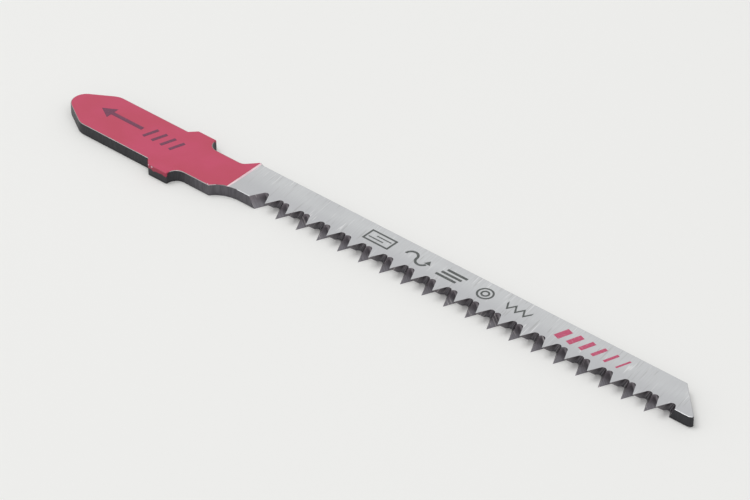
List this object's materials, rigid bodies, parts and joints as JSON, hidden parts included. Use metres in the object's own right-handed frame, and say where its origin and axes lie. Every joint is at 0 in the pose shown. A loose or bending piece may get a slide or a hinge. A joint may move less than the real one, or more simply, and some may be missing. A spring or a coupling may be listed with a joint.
{
  "type": "jigsaw blade",
  "caption": "Narrow jigsaw blade with a tabbed shank, taper-ground body and alternately ground teeth, painted on the shank, for fine curved cuts in wood.",
  "frame": {"origin": "on the shank's centre line at the drive shoulders of the two tabs, on the face that the blade lies on", "axes": "+X along the blade from the shank to its free end, +Y from the teeth to the back edge, +Z through the strip, away from the surface that it lies on"},
  "size_m": [0.0828, 0.0078, 0.0014],
  "materials": {
    "blade_steel": "bare tool steel, ground across the blade, darker on the blanked edges",
    "red_paint": "thin rose red paint, satin",
    "print_ink": "thin flat printing ink on the steel"
  },
  "bodies": {
    "root": {"blade": "blade_steel", "shank_coat": "red_paint"}
  },
  "joints": []
}
